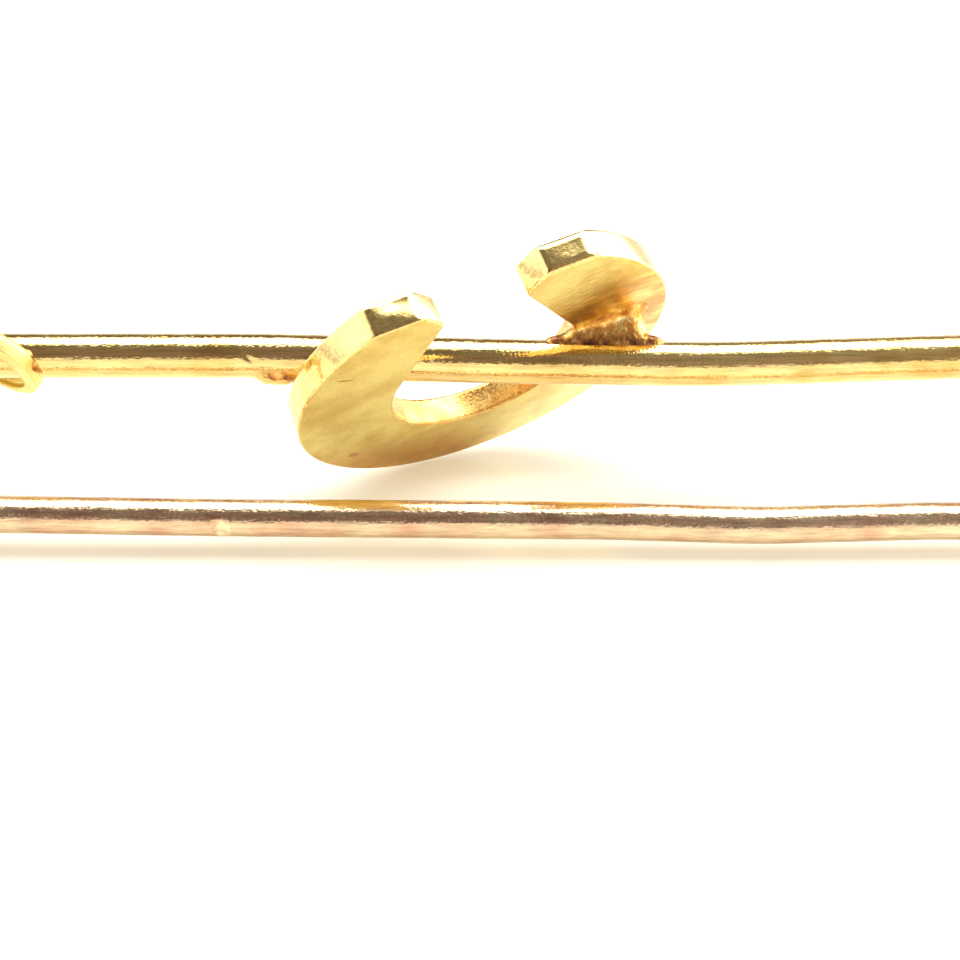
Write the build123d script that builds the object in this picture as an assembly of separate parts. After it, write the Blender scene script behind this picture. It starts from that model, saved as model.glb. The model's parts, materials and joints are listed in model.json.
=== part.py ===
from build123d import *
from math import acos, asin, atan2, cos, degrees, radians, sin, sqrt, tan
import os

# A gold bar brooch, lying on its back findings and on the crescent's edge.
# Millimetres. The brooch is built upright in its own axes and is then leaned over to lie as it rests:
# x runs along the bar, y from the crescent's horns to its closed side, z from the pin side to the front.

# The bar wire, with its slight bends
BAR_LENGTH = 50.0
BAR_DIAMETER = 1.30
BAR_END_ROUNDING = 0.45
BAR_BENDS = [  # share of half the bar's length, height as a share of its diameter
    (-1.00, 0.130),
    (-0.26, 0.130),
    (0.06, -0.015),
    (0.27, -0.085),
    (0.58, 0.115),
    (1.00, 0.155),
]
BAR_BEND_RADIUS = 55.0

# The crescent: a flat plate with a round hole, cut open between two blunt horns
CRESCENT_RADIUS = 5.72
CRESCENT_THICKNESS = 0.92
CRESCENT_FRONT_BEVEL = 0.20
HOLE_RADIUS = 2.87
HORN_FLAT_DEPTH = 0.84  # how far the flat across the top of both horns cuts into the round outline
HORN_FLAT_GAP = 3.40  # between the ends of those flats
HORN_TIP_GAP = 2.24  # between the two inner corners of the horns
HORN_TIP_DROP = 0.77  # from the flat down to those inner corners

# The small round motif near one end of the bar, a thin cup with a hollow back
MOTIF_PLACE = -14.0
MOTIF_RADIUS = 1.33
MOTIF_THICKNESS = 0.55
MOTIF_ROUNDING = 0.22
MOTIF_HOLLOW_RADIUS = 0.72
MOTIF_HOLLOW_DEPTH = 0.30
MOTIF_HOLLOW_SHIFT = 0.42
MOTIF_TILT = 22.0  # turned the other way from the crescent

# Solder between the bar and the crescent's two limbs
SOLDER_WIDTH = 1.00
SOLDER_OVERRUN = 0.75  # how far it runs along the bar inside the hole
SOLDER_SET_BACK = 0.37  # from the limb's outer edge to where it ends on the limb
SOLDER_CREST = 0.30  # height of its outer end above the bar

# The pin stem, behind the bar, with its slight bends
PIN_SPACING = 4.86  # bar axis to pin axis
PIN_DIAMETER = 1.06
PIN_TIP_DIAMETER = 0.16
PIN_TAPER = 7.3
PIN_TIP_FROM_END = 1.0  # from the bar's end to the pin's point
PIN_BENDS = [  # share of the distance from the hinge to the tip, height as a share of its diameter
    (0.207, 0.000),
    (0.310, -0.120),
    (0.400, 0.000),
    (0.640, 0.095),
    (0.765, 0.180),
    (1.000, 0.210),
]
PIN_BEND_RADIUS = 25.0

# The hinge: a post with two cheeks, a rivet, and the flattened eye of the pin between them
HINGE_FROM_END = 3.0
RIVET_DIAMETER = 0.50
KNUCKLE_RADIUS = 0.72
CHEEK_THICKNESS = 0.33
EYE_THICKNESS = 0.50
EYE_INSET = 0.08  # the eye's rim lies this far inside the cheeks' rims
SHOULDER_CLEARANCE = 0.28  # from the cheeks' rims to where the pin's wire is round again
SIDE_CLEARANCE = 0.04
RIVET_CLEARANCE = 0.04
SLOT_CLEARANCE = 0.20

# The catch: a plain cradle on a narrow post
CATCH_FROM_END = 3.0
CATCH_LENGTH = 1.60
CATCH_WALL = 0.32
CATCH_CLEARANCE = 0.12
CATCH_POST_WIDTH = 0.70

# Sizes that follow from the ones above
BAR_RADIUS = BAR_DIAMETER / 2
PIN_RADIUS = PIN_DIAMETER / 2
PIN_TIP_RADIUS = PIN_TIP_DIAMETER / 2
RIVET_RADIUS = RIVET_DIAMETER / 2
HINGE_PLACE = BAR_LENGTH / 2 - HINGE_FROM_END
CATCH_PLACE = CATCH_FROM_END - BAR_LENGTH / 2
PIN_TIP_PLACE = PIN_TIP_FROM_END - BAR_LENGTH / 2
PIN_LENGTH = HINGE_PLACE - PIN_TIP_PLACE
TAPER_START = PIN_TIP_PLACE + PIN_TAPER
EYE_RADIUS = KNUCKLE_RADIUS - EYE_INSET
EYE_SHOULDER = KNUCKLE_RADIUS + SHOULDER_CLEARANCE
EYE_SLOT = EYE_THICKNESS + 2 * SIDE_CLEARANCE
KNUCKLE_WIDTH = EYE_SLOT + 2 * CHEEK_THICKNESS
HORN_FLAT = CRESCENT_RADIUS - HORN_FLAT_DEPTH

# The crescent threads over the bar: its left limb passes behind the bar and its right limb in front of it.
# It is tilted, about the line through its horns, until both edges of its hole touch the bar.
HOLE_DIAGONAL = sqrt((2 * HOLE_RADIUS) ** 2 + CRESCENT_THICKNESS**2)
TILT = asin(BAR_DIAMETER / HOLE_DIAGONAL) + atan2(CRESCENT_THICKNESS, 2 * HOLE_RADIUS)


def lowest_of_crescent(lean):
    """Height of the crescent's lowest edge from the bar's axis, when the brooch leans by that many degrees."""
    upward = cos(TILT) * cos(radians(lean))
    return -CRESCENT_THICKNESS / 2 * upward - CRESCENT_RADIUS * sqrt(1 - upward**2)


def lowest_of_hinge(lean):
    """Height of the hinge's lowest corner from the bar's axis, at that lean."""
    reach = PIN_SPACING + KNUCKLE_RADIUS
    return -reach * cos(radians(lean)) - KNUCKLE_WIDTH / 2 * sin(radians(lean))


def resting_lean():
    """The lean, in degrees, at which the crescent's edge and the hinge touch the table together."""
    low, high = 5.0, 85.0
    for _ in range(60):
        middle = (low + high) / 2
        if lowest_of_hinge(middle) < lowest_of_crescent(middle):
            low = middle
        else:
            high = middle
    return (low + high) / 2


LEAN = resting_lean()


def height_along(points, x):
    """Height of a bent wire at x, by straight lines between its points."""
    for (x0, z0), (x1, z1) in zip(points, points[1:]):
        if min(x0, x1) <= x <= max(x0, x1):
            return z0 + (z1 - z0) * (x - x0) / (x1 - x0)
    return points[-1][1]


bar_points = [(share * BAR_LENGTH / 2, height * BAR_DIAMETER) for share, height in BAR_BENDS]
pin_points = [(HINGE_PLACE, 0.0)]
pin_points += [(HINGE_PLACE - share * PIN_LENGTH, height * PIN_DIAMETER) for share, height in PIN_BENDS]


def bent_wire(points, radius, bend_radius, level):
    """A round wire of straight runs joined by tangent arcs, in the plane of x and z."""
    path = FilletPolyline(*[(x, 0, level + z) for x, z in points], radius=bend_radius)
    start = Plane(origin=path @ 0, z_dir=path % 0)
    return sweep(start * Circle(radius), path=path)


def make_bar():
    bar = bent_wire(bar_points, BAR_RADIUS, BAR_BEND_RADIUS, 0.0)
    ends = bar.edges().filter_by(GeomType.CIRCLE).sort_by(Axis.X)
    return fillet([ends[0], ends[-1]], BAR_END_ROUNDING)


def crescent_face():
    """The crescent's outline in its own plane, horns towards -y."""
    flat_half = sqrt(CRESCENT_RADIUS**2 - HORN_FLAT**2)
    tip = Vector(HORN_TIP_GAP / 2, HORN_TIP_DROP - HORN_FLAT)
    # The inner side of a horn is a straight line that leaves the hole at a tangent
    turn = atan2(tip.Y, tip.X) + acos(HOLE_RADIUS / tip.length)
    leave = Vector(HOLE_RADIUS * cos(turn), HOLE_RADIUS * sin(turn))
    right = [(flat_half, -HORN_FLAT), (HORN_FLAT_GAP / 2, -HORN_FLAT), (tip.X, tip.Y), (leave.X, leave.Y)]
    left = [(-x, y) for x, y in right]
    with BuildSketch() as sketch:
        with BuildLine():
            ThreePointArc(left[0], (0, CRESCENT_RADIUS), right[0])
            Polyline(*right)
            ThreePointArc(right[-1], (0, HOLE_RADIUS), left[-1])
            Polyline(*reversed(left))
        make_face()
    return sketch.sketch


def make_crescent():
    plate = extrude(Pos(0, 0, -CRESCENT_THICKNESS / 2) * crescent_face(), CRESCENT_THICKNESS)
    front = plate.faces().sort_by(Axis.Z)[-1]
    plate = chamfer(front.edges(), CRESCENT_FRONT_BEVEL)
    return Rot(0, -degrees(TILT), 0) * plate


def make_motif():
    """The round cup, pierced by the bar, with its hollow to the back."""
    cup = extrude(Circle(MOTIF_RADIUS), MOTIF_THICKNESS / 2, both=True)
    cup = fillet(cup.edges().sort_by(Axis.Z)[-1:], MOTIF_ROUNDING)
    floor = Pos(0, MOTIF_HOLLOW_SHIFT, MOTIF_HOLLOW_DEPTH - MOTIF_THICKNESS / 2)
    cup -= floor * extrude(Circle(MOTIF_HOLLOW_RADIUS), -MOTIF_HOLLOW_DEPTH)
    return Pos(MOTIF_PLACE, 0, height_along(bar_points, MOTIF_PLACE)) * Rot(0, MOTIF_TILT, 0) * cup


def solder_wedge(side):
    """Solder between the bar and one limb: side +1 is the limb in front of the bar, -1 the one behind it."""
    inner = HOLE_RADIUS * cos(TILT)
    outer = CRESCENT_RADIUS * cos(TILT)

    def face_height(x):
        """Height of the limb's face next to the bar, a quarter of the way into the metal."""
        return x * tan(TILT) - CRESCENT_THICKNESS / 4 / cos(TILT)

    shape = [
        (inner - SOLDER_OVERRUN, BAR_RADIUS / 2),
        (inner, face_height(inner)),
        (outer - SOLDER_SET_BACK, face_height(outer - SOLDER_SET_BACK)),
        (outer - SOLDER_SET_BACK / 3, BAR_RADIUS + SOLDER_CREST),
        (outer, BAR_RADIUS / 2),
    ]
    with BuildSketch(Plane.XZ) as sketch:
        with BuildLine():
            Polyline(*[(side * x, side * z) for x, z in shape], close=True)
        make_face()
    return extrude(sketch.sketch, SOLDER_WIDTH / 2, both=True)


def make_hinge_post():
    """The post from the bar, forked into two cheeks that hold the rivet."""
    top = height_along(bar_points, HINGE_PLACE)
    axis = Pos(HINGE_PLACE, 0, -PIN_SPACING)
    post = Pos(HINGE_PLACE, 0, (top - PIN_SPACING) / 2) * Box(2 * KNUCKLE_RADIUS, KNUCKLE_WIDTH, PIN_SPACING + top)
    across = Rot(90, 0, 0)
    knuckle = axis * across * Cylinder(KNUCKLE_RADIUS, KNUCKLE_WIDTH)
    slot_reach = EYE_RADIUS + SLOT_CLEARANCE
    slot = axis * Pos(0, 0, -KNUCKLE_RADIUS) * Box(4 * KNUCKLE_RADIUS, EYE_SLOT, 2 * (slot_reach + KNUCKLE_RADIUS))
    bore = axis * across * Cylinder(RIVET_RADIUS, 2 * KNUCKLE_WIDTH)
    return post + knuckle - slot - bore


def pin_radius_at(x):
    """The pin's radius at x, along its taper."""
    share = min((x - PIN_TIP_PLACE) / PIN_TAPER, 1.0)
    return PIN_TIP_RADIUS + share * (PIN_RADIUS - PIN_TIP_RADIUS)


def make_catch():
    """A cradle, open to the back, whose cheeks reach the table beside the pin's point."""
    half_gap = pin_radius_at(CATCH_PLACE + CATCH_LENGTH / 2) + CATCH_CLEARANCE
    half_width = half_gap + CATCH_WALL
    level = height_along(pin_points, CATCH_PLACE) - PIN_SPACING
    cheek_end = (lowest_of_hinge(LEAN) + half_width * sin(radians(LEAN))) / cos(radians(LEAN))
    top = height_along(bar_points, CATCH_PLACE)
    base = level + half_width
    middle = Pos(CATCH_PLACE, 0, level)
    post = Pos(CATCH_PLACE, 0, (top + base) / 2) * Box(CATCH_LENGTH, CATCH_POST_WIDTH, top - base + CATCH_WALL)
    along = Rot(0, 90, 0)
    cradle = middle * along * Cylinder(half_width, CATCH_LENGTH)
    cradle -= middle * Pos(0, 0, -half_width) * Box(CATCH_LENGTH, 2 * half_width, 2 * half_width)
    cheeks = Pos(CATCH_PLACE, 0, (level + cheek_end) / 2) * Box(CATCH_LENGTH, 2 * half_width, level - cheek_end)
    trough = middle * along * Cylinder(half_gap, 2 * CATCH_LENGTH)
    mouth = middle * Pos(0, 0, -PIN_SPACING / 2) * Box(2 * CATCH_LENGTH, 2 * half_gap, PIN_SPACING)
    return post + (cradle + cheeks - trough - mouth)


def make_pin():
    """The pin's bent wire, its point, and its flattened eye."""
    wire_end = (TAPER_START, height_along(pin_points, TAPER_START))
    wire_points = [point for point in pin_points if point[0] > TAPER_START] + [wire_end]
    wire = bent_wire(wire_points, PIN_RADIUS, PIN_BEND_RADIUS, -PIN_SPACING)
    tip = pin_points[-1]
    direction = Vector(tip[0] - wire_end[0], 0, tip[1] - wire_end[1])
    plane = Plane(origin=(wire_end[0], 0, wire_end[1] - PIN_SPACING), z_dir=direction)
    point = plane * Cone(PIN_RADIUS, PIN_TIP_RADIUS, direction.length, align=(Align.CENTER, Align.CENTER, Align.MIN))
    axis = Pos(HINGE_PLACE, 0, -PIN_SPACING)
    for side in (-1, 1):
        away = side * (EYE_THICKNESS / 2 + PIN_RADIUS)
        wire -= axis * Pos(0, away, 0) * Box(2 * EYE_SHOULDER, 2 * PIN_RADIUS, 4 * PIN_RADIUS)
    eye = axis * Rot(90, 0, 0) * Cylinder(EYE_RADIUS, EYE_THICKNESS)
    hole = axis * Rot(90, 0, 0) * Cylinder(RIVET_RADIUS + RIVET_CLEARANCE, 2 * PIN_DIAMETER)
    return wire + point + eye - hole


def make_rivet():
    return Pos(HINGE_PLACE, 0, -PIN_SPACING) * Rot(90, 0, 0) * Cylinder(RIVET_RADIUS, KNUCKLE_WIDTH)


brooch_frame = make_bar() + make_crescent() + solder_wedge(1) + solder_wedge(-1)
brooch_frame = brooch_frame + make_motif() + make_hinge_post() + make_catch()
nodes = {"brooch_frame": brooch_frame, "pin_stem": make_pin(), "hinge_rivet": make_rivet()}

# Lean the brooch over to lie as it rests, with the middle of its footprint at the origin
leaned = {name: Rot(-LEAN, 0, 0) * solid for name, solid in nodes.items()}
reach = leaned["brooch_frame"].bounding_box()
for solid in leaned.values():
    reach = reach.add(solid.bounding_box())
to_origin = Pos(-(reach.min.X + reach.max.X) / 2, -(reach.min.Y + reach.max.Y) / 2, -reach.min.Z)

os.makedirs("parts", exist_ok=True)
for name, solid in leaned.items():
    export_step(to_origin * solid, f"parts/{name}.step")

# Where the hinge turns, and the middle of the pin's straight run between its last bend and its taper
to_table = to_origin * Rot(-LEAN, 0, 0)
hinge = (to_table * Pos(HINGE_PLACE, 0, -PIN_SPACING)).position
run_x = (pin_points[-2][0] + TAPER_START) / 2
run = (to_table * Pos(run_x, 0, height_along(pin_points, run_x) - PIN_SPACING)).position
print(f"lean {LEAN:.3f} degrees, tilt {degrees(TILT):.2f} degrees, size {reach.size}")
print(f"hinge axis through {hinge} mm, axis (0, {-cos(radians(LEAN)):.6f}, {sin(radians(LEAN)):.6f})")
print(f"pin's straight run at {run} mm")
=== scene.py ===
# %% [markdown]
# A gold bar brooch with a crescent, lying on its back on a white table. The crescent is threaded over a
# round wire bar and soldered to it, and a rose gold pin stem closes into a plain catch below.
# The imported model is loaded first, because every piece made here has to sit exactly where its solid sits.

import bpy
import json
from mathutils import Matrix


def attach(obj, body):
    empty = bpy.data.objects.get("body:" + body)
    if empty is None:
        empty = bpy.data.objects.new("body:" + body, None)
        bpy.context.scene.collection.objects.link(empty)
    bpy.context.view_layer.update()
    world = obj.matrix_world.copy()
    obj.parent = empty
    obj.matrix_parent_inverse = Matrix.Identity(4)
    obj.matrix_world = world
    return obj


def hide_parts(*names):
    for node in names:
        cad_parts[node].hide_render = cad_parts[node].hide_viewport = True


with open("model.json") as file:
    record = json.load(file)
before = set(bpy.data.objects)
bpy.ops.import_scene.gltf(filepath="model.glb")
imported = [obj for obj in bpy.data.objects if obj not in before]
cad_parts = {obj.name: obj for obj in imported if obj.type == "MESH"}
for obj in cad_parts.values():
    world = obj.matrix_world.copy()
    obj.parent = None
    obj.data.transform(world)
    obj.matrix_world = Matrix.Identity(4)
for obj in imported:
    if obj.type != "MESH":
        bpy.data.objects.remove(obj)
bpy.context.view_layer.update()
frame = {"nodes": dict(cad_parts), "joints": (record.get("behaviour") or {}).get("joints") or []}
print("nodes:", sorted(frame["nodes"]))

# %% [markdown]
# The brooch is easiest to model upright, in millimetres, as its maker would hold it: x runs along the bar,
# y from the crescent's horns to its closed side, and z from the pin side to the front. Each finished piece
# is then laid down where the solid lies. The hinge gives that place: its axis says how far the brooch
# leans, and its point says where it is.

# %% The brooch's own axes, and how a piece is laid down
import json
from math import acos, asin, atan2, cos, degrees, hypot, pi, radians, sin, tan

import bmesh
import bpy
from mathutils import Matrix, Vector

MM = 0.001
HINGE_PLACE = 22.0
PIN_SPACING = 4.86  # from the bar's axis to the pin's

hinge = frame["joints"][0]
LEAN = atan2(hinge["axis"][2], -hinge["axis"][1])
hinge_at_home = Vector((HINGE_PLACE, 0, -PIN_SPACING))
LAID = (
    Matrix.Translation(hinge["pos_m"])
    @ Matrix.Rotation(-LEAN, 4, "X")
    @ Matrix.Scale(MM, 4)
    @ Matrix.Translation(-hinge_at_home)
)


def pick(*pieces):
    """Selects only these pieces, with the first one active."""
    bpy.ops.object.select_all(action="DESELECT")
    for piece in pieces:
        piece.select_set(True)
    bpy.context.view_layer.objects.active = pieces[0]


def lay_down(piece, body, *nodes):
    """Moves the finished piece to where it lies, into its mesh, says what it rides on, and hides the solids
    it stands for.
    """
    pick(piece)
    piece.matrix_world = LAID @ piece.matrix_world
    bpy.ops.object.transform_apply(location=True, rotation=True, scale=True)
    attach(piece, body)
    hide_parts(*nodes)
    print(f"{piece.name}: {len(piece.data.polygons)} faces, on {body}")


print(f"the brooch leans {degrees(LEAN):.2f} degrees")

# %% [markdown]
# A few moves come back in every piece: adding a primitive with nothing else selected, going in and out of
# edit mode, choosing points, edges or faces by their place, and applying a modifier. They are helpers, so
# that each piece below reads as the steps that a person would take by hand.

# %% Helpers for modelling by hand
SMOOTH_ANGLE = radians(35)
CORNER_ANGLE = radians(25)
TOUCHING = 0.001  # points nearer than this to a plane lie on it


def start_piece(name, add_primitive, **settings):
    """Adds a primitive with nothing else selected, names it, and opens it in edit mode."""
    bpy.ops.object.select_all(action="DESELECT")
    add_primitive(**settings)
    piece = bpy.context.object
    piece.name = name
    piece.data.name = name
    bpy.ops.object.transform_apply(location=True, rotation=True, scale=True)
    bpy.ops.object.mode_set(mode="EDIT")
    return piece


def open_piece(piece):
    """Opens a piece in edit mode, with nothing else selected."""
    pick(piece)
    bpy.ops.object.mode_set(mode="EDIT")


def select(kind, test):
    """In edit mode, selects only the verts, edges or faces that pass the test."""
    bpy.ops.mesh.select_mode(type={"verts": "VERT", "edges": "EDGE", "faces": "FACE"}[kind])
    bpy.ops.mesh.select_all(action="DESELECT")
    shape = bmesh.from_edit_mesh(bpy.context.object.data)
    for part in getattr(shape, kind):
        if test(part):
            part.select_set(True)
    bmesh.update_edit_mesh(bpy.context.object.data)


def middle(part):
    """The middle of an edge or a face."""
    points = [vert.co for vert in part.verts]
    return sum(points, Vector()) / len(points)


def is_corner(edge):
    return edge.calc_face_angle(0.0) > CORNER_ANGLE


def pull(step):
    """Extrudes what is selected by a step."""
    bpy.ops.mesh.extrude_region_move(TRANSFORM_OT_translate={"value": step})


def close_piece(merge=0.0005):
    """Merges points nearer than that, turns the faces outwards and leaves edit mode."""
    bpy.ops.mesh.select_mode(type="VERT")
    bpy.ops.mesh.select_all(action="SELECT")
    bpy.ops.mesh.remove_doubles(threshold=merge)
    bpy.ops.mesh.normals_make_consistent(inside=False)
    bpy.ops.object.mode_set(mode="OBJECT")


def modify(piece, kind, **settings):
    """Adds a modifier with these settings and applies it."""
    bpy.context.view_layer.objects.active = piece
    modifier = piece.modifiers.new(kind, kind)
    for name, value in settings.items():
        setattr(modifier, name, value)
    bpy.ops.object.modifier_apply(modifier=modifier.name)


def finish_piece(piece, *metals):
    """Shades a piece smooth, apart from its sharp edges, and gives it its metals."""
    pick(piece)
    bpy.ops.object.shade_smooth_by_angle(angle=SMOOTH_ANGLE)
    for metal in metals:
        piece.data.materials.append(metal)
    print(f"{piece.name}: {len(piece.data.polygons)} faces")


# %% [markdown]
# The camera looks from low down on the pin side, as the photograph does, and so near that only the middle
# of the brooch is in view. It is placed from the bar's axis, so that it follows the model.

# %% Camera
SENSOR_WIDTH = 36.0
FRAME_PIXELS = 960
FOCAL_PIXELS = 1180
CAMERA_ELEVATION = radians(24.455)
CAMERA_DISTANCE = 34.43
BAR_ABOVE_CENTRE = 3.471

bar_middle = LAID @ Vector((0, 0, 0))
camera_up = Vector((0, sin(CAMERA_ELEVATION), cos(CAMERA_ELEVATION)))
camera_back = Vector((0, -cos(CAMERA_ELEVATION), sin(CAMERA_ELEVATION)))
bpy.ops.object.select_all(action="DESELECT")
bpy.ops.object.camera_add(
    location=bar_middle + MM * (CAMERA_DISTANCE * camera_back - BAR_ABOVE_CENTRE * camera_up),
    rotation=(pi / 2 - CAMERA_ELEVATION, 0, 0),
)
camera = bpy.context.object
camera.data.sensor_width = SENSOR_WIDTH
camera.data.lens = SENSOR_WIDTH * FOCAL_PIXELS / FRAME_PIXELS
camera.data.clip_start = 1 * MM
camera.data.clip_end = 10
bpy.context.scene.camera = camera
bpy.context.view_layer.update()
# From the bar towards the camera and up in the picture, in the brooch's own axes
to_viewer = (LAID.inverted() @ camera.location).normalized()
picture_up = Vector((1, 0, 0)).cross(to_viewer) * -1
print("camera at", [round(c / MM, 2) for c in camera.location], "mm, seen along", to_viewer)

# %% [markdown]
# Materials come as node trees. Colours are written as the sRGB hex values that a picture editor shows and
# are turned to linear light by one function. One small function adds a node: each input gets a value, or
# another node, whose result is then linked to it.

# %% Helpers for materials
def linear(hex_colour):
    """Turns an sRGB hex colour to linear red, green, blue and alpha."""
    shares = [int(hex_colour[place:place + 2], 16) / 255 for place in (1, 3, 5)]
    return [c / 12.92 if c <= 0.04045 else ((c + 0.055) / 1.055) ** 2.4 for c in shares] + [1.0]


def feed(tree, node, inputs):
    """Gives a node's inputs a value, another node's output, or the first output of another node."""
    for name, value in inputs.items():
        if isinstance(value, bpy.types.Node):
            value = next(output for output in value.outputs if output.enabled)
        if isinstance(value, bpy.types.NodeSocket):
            tree.links.new(value, node.inputs[name])
        else:
            node.inputs[name].default_value = value


def add_node(tree, kind, inputs, stops=(), **settings):
    """Adds a shader node, sets its properties and inputs, and gives a ramp its stops of place and colour."""
    node = tree.nodes.new("ShaderNode" + kind)
    for name, value in settings.items():
        setattr(node, name, value)
    feed(tree, node, inputs)
    if stops:
        elements = node.color_ramp.elements
        while len(elements) < len(stops):
            elements.new(1.0)
        for element, (place, colour) in zip(elements, stops):
            element.position = place
            element.color = colour
    return node


# %% [markdown]
# The brooch was photographed in a light tent: white behind and above, white paper in front, and the dark
# opening for the camera above that. A polished wire shows this as bands, so the light is set as bands too,
# by the angle from the level front, over the top, to the level back. The tent's sides are white walls that
# get brighter upwards, and a lamp shines through the back right one, on the far wall of the right horn.

# %% Light from the tent
WHITE_PAPER = linear("#FFFDFA")
WARM_ROOM = linear("#FFDFD2")
GREY_ROOM = linear("#FFFBF2")
BAND_START = -90  # degrees under the level front
BAND_END = 180    # the level back
TENT_BANDS = [  # degrees from the level front over the top, strength, colour
    (BAND_START, 1.10, WHITE_PAPER),
    (2, 1.00, WHITE_PAPER),
    (8, 0.27, WARM_ROOM),
    (45, 0.24, WARM_ROOM),
    (73, 0.27, GREY_ROOM),
    (77, 0.90, WHITE_PAPER),
    (84, 6.00, WHITE_PAPER),
    (120, 6.00, WHITE_PAPER),
    (127, 0.26, WARM_ROOM),
    (155, 0.26, WARM_ROOM),
    (161, 1.10, WHITE_PAPER),
    (BAND_END, 1.10, WHITE_PAPER),
]
OPEN_RIGHT = 0.14  # extra strength from the right of the camera
SIDE_AT_TABLE = 0.90
SIDE_LEFT, SIDE_RIGHT = 2.00, 2.20  # strength of the walls higher up
LAMP_DIRECTION = (0.807, 0.464, 0.364)
LAMP_STRENGTH = 3.6

world = bpy.data.worlds.new("light_tent")
bpy.context.scene.world = world
world.use_nodes = True
tree = world.node_tree
tree.nodes.clear()
direction = add_node(tree, "TexCoord", {}).outputs["Generated"]
x, y, z = add_node(tree, "SeparateXYZ", {"Vector": direction}).outputs
front = add_node(tree, "Math", {0: y, 1: -1.0}, operation="MULTIPLY")
angle = add_node(tree, "Math", {0: z, 1: front}, operation="ARCTAN2")
over = add_node(tree, "MapRange", {
    "Value": angle, "From Min": radians(BAND_START), "From Max": radians(BAND_END),
})
bands = add_node(tree, "ValToRGB", {"Fac": over}, stops=[
    ((turn - BAND_START) / (BAND_END - BAND_START), [strength * part for part in colour[:3]] + [1.0])
    for turn, strength, colour in TENT_BANDS
])
from_right = add_node(tree, "MapRange", {
    "Value": x, "From Min": 0.0, "From Max": 0.25, "To Max": OPEN_RIGHT,
})
opened = add_node(
    tree, "Mix", {"Factor": 1.0, "A": bands, "B": from_right}, data_type="RGBA", blend_type="ADD"
)
sideways = add_node(tree, "Math", {0: x}, operation="ABSOLUTE")
to_sides = add_node(
    tree, "MapRange", {"Value": sideways, "From Min": 0.53, "From Max": 0.74},
    interpolation_type="SMOOTHSTEP",
)
high_up = add_node(tree, "MapRange", {
    "Value": x, "From Min": -0.4, "From Max": 0.4, "To Min": SIDE_LEFT, "To Max": SIDE_RIGHT,
})
brighter_up = add_node(tree, "MapRange", {
    "Value": z, "From Min": 0.0, "From Max": 0.16, "To Min": SIDE_AT_TABLE, "To Max": high_up,
})
walls = add_node(tree, "Mix", {"Factor": to_sides, "A": opened, "B": brighter_up}, data_type="RGBA")
to_lamp = add_node(tree, "VectorMath", {0: direction, 1: LAMP_DIRECTION}, operation="DOT_PRODUCT")
lamp = add_node(
    tree, "MapRange", {"Value": to_lamp, "From Min": 0.89, "From Max": 0.97, "To Max": LAMP_STRENGTH},
    interpolation_type="SMOOTHSTEP",
)
lit = add_node(tree, "Mix", {"Factor": 1.0, "A": walls, "B": lamp}, data_type="RGBA", blend_type="ADD")
tent = add_node(tree, "Background", {"Color": lit})
add_node(tree, "OutputWorld", {"Surface": tent})

bpy.context.scene.view_settings.view_transform = "Standard"
bpy.context.scene.view_settings.look = "None"
print("light bands:", len(TENT_BANDS))

# %% [markdown]
# The table is a sheet of smooth white acrylic with a lamp under it, as photographers use to lift shadows.
# Its gloss carries a faint warm reflection of the gold.

# %% Table
TABLE_SIZE = 3.0

bpy.ops.object.select_all(action="DESELECT")
bpy.ops.mesh.primitive_plane_add(size=TABLE_SIZE)
table = bpy.context.object
table.name = "table"
white_sheet = bpy.data.materials.new("glossy white table")
white_sheet.use_nodes = True
feed(white_sheet.node_tree, white_sheet.node_tree.nodes["Principled BSDF"], {
    "Base Color": linear("#BDBAB6"), "Roughness": 0.22,
    "Emission Color": linear("#FFF1CC"), "Emission Strength": 0.48,
})
table.data.materials.append(white_sheet)

# %% [markdown]
# Yellow gold of 18 carats, drawn to wire and polished, then worn for years: fine lines along the wire from
# the drawing, small pits, and a colour that is a little greener or redder from place to place.

# %% Polished yellow gold
PATCH_SIZE = 1.3 * MM
LINE_SIZE = 0.10 * MM
PIT_SIZE = 0.085 * MM


def metal_tree(name):
    """A new metal: its material, its node tree, its shader, and Object coordinates in metres."""
    material = bpy.data.materials.new(name)
    material.use_nodes = True
    tree = material.node_tree
    shader = tree.nodes["Principled BSDF"]
    shader.inputs["Metallic"].default_value = 1.0
    return material, tree, shader, add_node(tree, "TexCoord", {}).outputs["Object"]


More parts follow.
